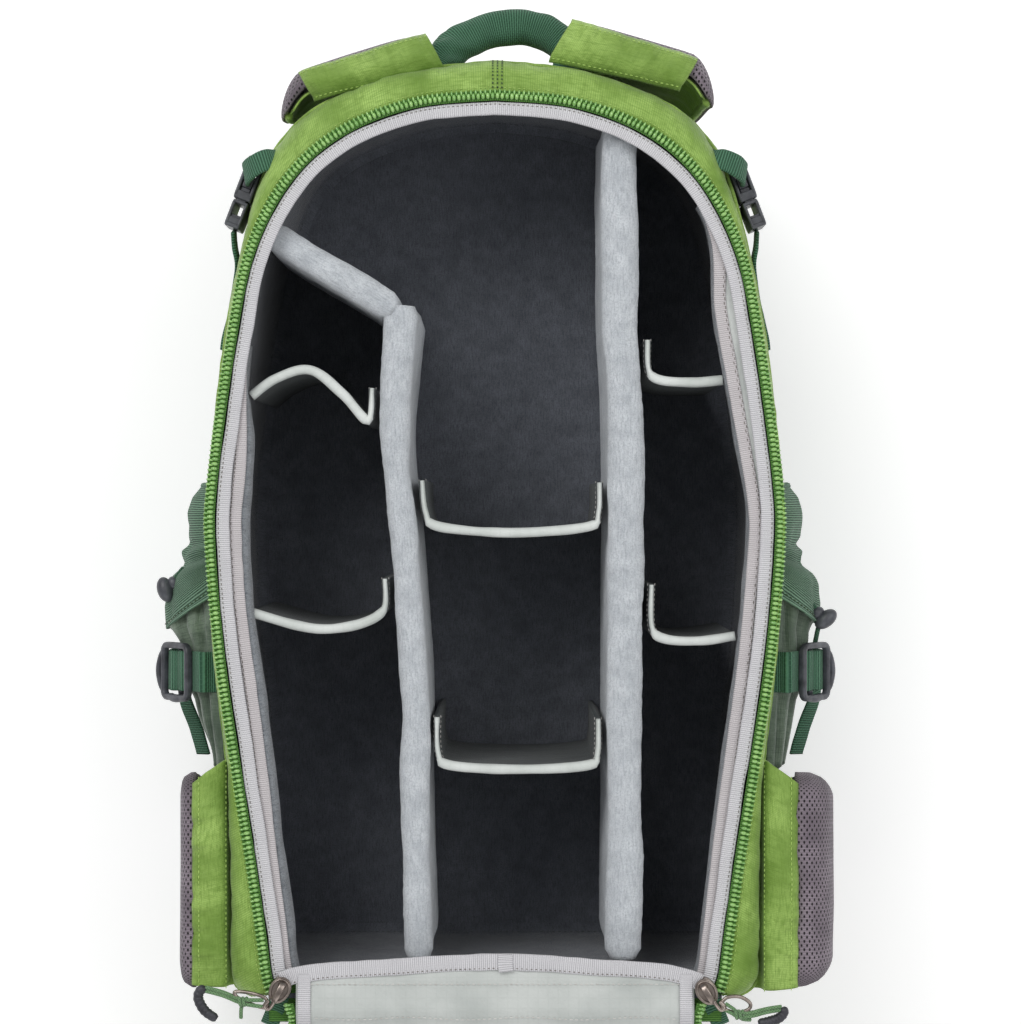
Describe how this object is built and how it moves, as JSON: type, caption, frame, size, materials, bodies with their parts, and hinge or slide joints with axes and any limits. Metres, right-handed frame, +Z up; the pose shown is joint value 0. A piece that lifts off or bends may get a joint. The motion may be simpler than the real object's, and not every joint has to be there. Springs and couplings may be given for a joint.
{
  "type": "camera backpack",
  "caption": "Rear-access camera backpack lying open on its front, with a folded-down padded rear panel and a divided compartment.",
  "frame": {"origin": "middle of the front pocket's outer face, which lies on the ground", "axes": "+X towards the bag's right as the opening is looked into, +Y from the base to the carry handle, +Z up, out of the opening"},
  "size_m": [0.3478, 0.9017, 0.217],
  "materials": {
    "green_nylon": "woven nylon with a fine ripstop",
    "olive_nylon": "smooth coated nylon",
    "dark_nylon": "heavy woven nylon",
    "webbing": "ribbed webbing",
    "air_mesh": "3-D spacer mesh",
    "grosgrain": "grosgrain tape",
    "loop_lining": "brushed loop fabric",
    "satin_lining": "satin nylon lining",
    "velour": "brushed velour over foam",
    "divider_cloth": "nylon with a pale bound edge",
    "zip_chain": "moulded zip chain on woven tape",
    "cord": "braided cord",
    "gunmetal": "gunmetal plated",
    "black_plastic": "moulded, fine texture"
  },
  "bodies": {
    "bag_body": {"base_panel": "dark_nylon", "side_wall": "green_nylon", "lining": "loop_lining", "padded_partition": "dark_nylon", "laptop_compartment": "dark_nylon", "front_pocket": "dark_nylon", "rear_gusset": "green_nylon", "main_zipper": "zip_chain", "opening_binding": "grosgrain", "hinge_strip": "satin_lining", "divider_right": "velour", "divider_left": "velour", "divider_diagonal": "velour", "laptop_zipper": "zip_chain", "strap_webbing_left": "webbing", "side_pocket_left": "olive_nylon", "lower_strap_left": "webbing", "buckle_socket_left": "black_plastic", "side_strap_left": "webbing", "strap_webbing_right": "webbing", "side_pocket_right": "olive_nylon", "lower_strap_right": "webbing", "buckle_socket_right": "black_plastic", "side_strap_right": "webbing"},
    "rear_panel": {"rear_panel": "satin_lining", "panel_zipper": "zip_chain", "back_pad": "air_mesh"},
    "carry_handle": {"carry_handle": "webbing"},
    "laptop_zip_slider": {"laptop_zip_slider": "gunmetal"},
    "laptop_zip_pull": {"laptop_zip_pull": "cord"},
    "shoulder_strap_left": {"strap_root_left": "green_nylon", "shoulder_pad_left": "air_mesh", "strap_adjuster_left": "black_plastic"},
    "hip_wing_left": {"hip_wing_left": "air_mesh"},
    "cuff_toggle_left": {"cuff_toggle_left": "black_plastic"},
    "buckle_plug_left": {"buckle_plug_left": "black_plastic"},
    "ladder_lock_left": {"ladder_lock_left": "black_plastic"},
    "main_slider_left": {"main_slider_left": "gunmetal"},
    "zip_pull_left": {"pull_ring_left": "gunmetal", "pull_cord_left": "cord", "pull_grip_left": "black_plastic"},
    "shoulder_strap_right": {"strap_root_right": "green_nylon", "shoulder_pad_right": "air_mesh", "strap_adjuster_right": "black_plastic"},
    "hip_wing_right": {"hip_wing_right": "air_mesh"},
    "cuff_toggle_right": {"cuff_toggle_right": "black_plastic"},
    "buckle_plug_right": {"buckle_plug_right": "black_plastic"},
    "ladder_lock_right": {"ladder_lock_right": "black_plastic"},
    "main_slider_right": {"main_slider_right": "gunmetal"},
    "zip_pull_right": {"pull_ring_right": "gunmetal", "pull_cord_right": "cord", "pull_grip_right": "black_plastic"},
    "hip_buckle_plug": {"hip_buckle_plug": "black_plastic"},
    "hip_buckle_socket": {"hip_buckle_socket": "black_plastic"},
    "cross_left_upper": {"cross_left_upper": "divider_cloth"},
    "cross_left_lower": {"cross_left_lower": "divider_cloth"},
    "cross_centre_upper": {"cross_centre_upper": "divider_cloth"},
    "cross_centre_lower": {"cross_centre_lower": "divider_cloth"},
    "cross_right_upper": {"cross_right_upper": "divider_cloth"},
    "cross_right_lower": {"cross_right_lower": "divider_cloth"}
  },
  "joints": [
    {"name": "panel_hinge", "type": "hinge", "parent": "bag_body", "child": "rear_panel", "pos_m": [0, -0.17, 0.2125], "axis": [1, 0, 0], "range_deg": [-205.94, 0]},
    {"name": "handle_swing", "type": "hinge", "parent": "bag_body", "child": "carry_handle", "pos_m": [0, 0.305, 0.166], "axis": [1, 0, 0], "range_deg": [-25, 25]},
    {"name": "laptop_zip_travel", "type": "slide", "parent": "bag_body", "child": "laptop_zip_slider", "axis": [1, 0, 0], "range_m": [-0.02, 0.02]},
    {"name": "laptop_pull_lift", "type": "hinge", "parent": "laptop_zip_slider", "child": "laptop_zip_pull", "pos_m": [0, 0.308, 0.0435], "axis": [1, 0, 0], "range_deg": [0, 100]},
    {"name": "strap_swing_left", "type": "hinge", "parent": "bag_body", "child": "shoulder_strap_left", "pos_m": [-0.068, 0.2886, 0.2], "axis": [0.9563, 0.2924, 0], "range_deg": [0, 35]},
    {"name": "wing_swing_left", "type": "hinge", "parent": "bag_body", "child": "hip_wing_left", "pos_m": [-0.1346, -0.11, 0.2], "axis": [0, 1, 0], "range_deg": [0, 90]},
    {"name": "toggle_travel_left", "type": "slide", "parent": "bag_body", "child": "cuff_toggle_left", "axis": [0, 1, 0], "range_m": [0, 0.012]},
    {"name": "buckle_release_left", "type": "slide", "parent": "bag_body", "child": "buckle_plug_left", "axis": [-0.3584, -0.9336, 0], "range_m": [0, 0.024]},
    {"name": "ladder_lock_tilt_left", "type": "hinge", "parent": "bag_body", "child": "ladder_lock_left", "pos_m": [-0.1517, -0.0055, 0.1823], "axis": [0, 1, 0], "range_deg": [0, 25]},
    {"name": "main_zip_travel_left", "type": "slide", "parent": "bag_body", "child": "main_slider_left", "axis": [-0.1295, 0.9916, 0], "range_m": [0, 0.06]},
    {"name": "zip_pull_lift_left", "type": "hinge", "parent": "main_slider_left", "child": "zip_pull_left", "pos_m": [-0.1145, -0.165, 0.214], "axis": [0, 1, 0], "range_deg": [0, 80]},
    {"name": "strap_swing_right", "type": "hinge", "parent": "bag_body", "child": "shoulder_strap_right", "pos_m": [0.068, 0.2886, 0.2], "axis": [0.9563, -0.2924, 0], "range_deg": [0, 35]},
    {"name": "wing_swing_right", "type": "hinge", "parent": "bag_body", "child": "hip_wing_right", "pos_m": [0.1346, -0.11, 0.2], "axis": [0, -1, 0], "range_deg": [0, 90]},
    {"name": "toggle_travel_right", "type": "slide", "parent": "bag_body", "child": "cuff_toggle_right", "axis": [0, 1, 0], "range_m": [0, 0.012]},
    {"name": "buckle_release_right", "type": "slide", "parent": "bag_body", "child": "buckle_plug_right", "axis": [0.3584, -0.9336, 0], "range_m": [0, 0.024]},
    {"name": "ladder_lock_tilt_right", "type": "hinge", "parent": "bag_body", "child": "ladder_lock_right", "pos_m": [0.1517, -0.0055, 0.1823], "axis": [0, -1, 0], "range_deg": [0, 25]},
    {"name": "main_zip_travel_right", "type": "slide", "parent": "bag_body", "child": "main_slider_right", "axis": [0.1295, 0.9916, 0], "range_m": [0, 0.06]},
    {"name": "zip_pull_lift_right", "type": "hinge", "parent": "main_slider_right", "child": "zip_pull_right", "pos_m": [0.1145, -0.165, 0.214], "axis": [0, -1, 0], "range_deg": [0, 80]},
    {"name": "hip_plug_swing", "type": "hinge", "parent": "hip_wing_left", "child": "hip_buckle_plug", "pos_m": [-0.166, -0.106, 0.052], "axis": [0, 1, 0], "range_deg": [0, 40]},
    {"name": "hip_socket_swing", "type": "hinge", "parent": "hip_wing_right", "child": "hip_buckle_socket", "pos_m": [0.166, -0.106, 0.052], "axis": [0, -1, 0], "range_deg": [0, 40]},
    {"name": "cross_left_upper_lift", "type": "slide", "parent": "bag_body", "child": "cross_left_upper", "axis": [0, 0, 1], "range_m": [0, 0.1]},
    {"name": "cross_left_lower_lift", "type": "slide", "parent": "bag_body", "child": "cross_left_lower", "axis": [0, 0, 1], "range_m": [0, 0.1]},
    {"name": "cross_centre_upper_lift", "type": "slide", "parent": "bag_body", "child": "cross_centre_upper", "axis": [0, 0, 1], "range_m": [0, 0.1]},
    {"name": "cross_centre_lower_lift", "type": "slide", "parent": "bag_body", "child": "cross_centre_lower", "axis": [0, 0, 1], "range_m": [0, 0.1]},
    {"name": "cross_right_upper_lift", "type": "slide", "parent": "bag_body", "child": "cross_right_upper", "axis": [0, 0, 1], "range_m": [0, 0.1]},
    {"name": "cross_right_lower_lift", "type": "slide", "parent": "bag_body", "child": "cross_right_lower", "axis": [0, 0, 1], "range_m": [0, 0.1]}
  ]
}
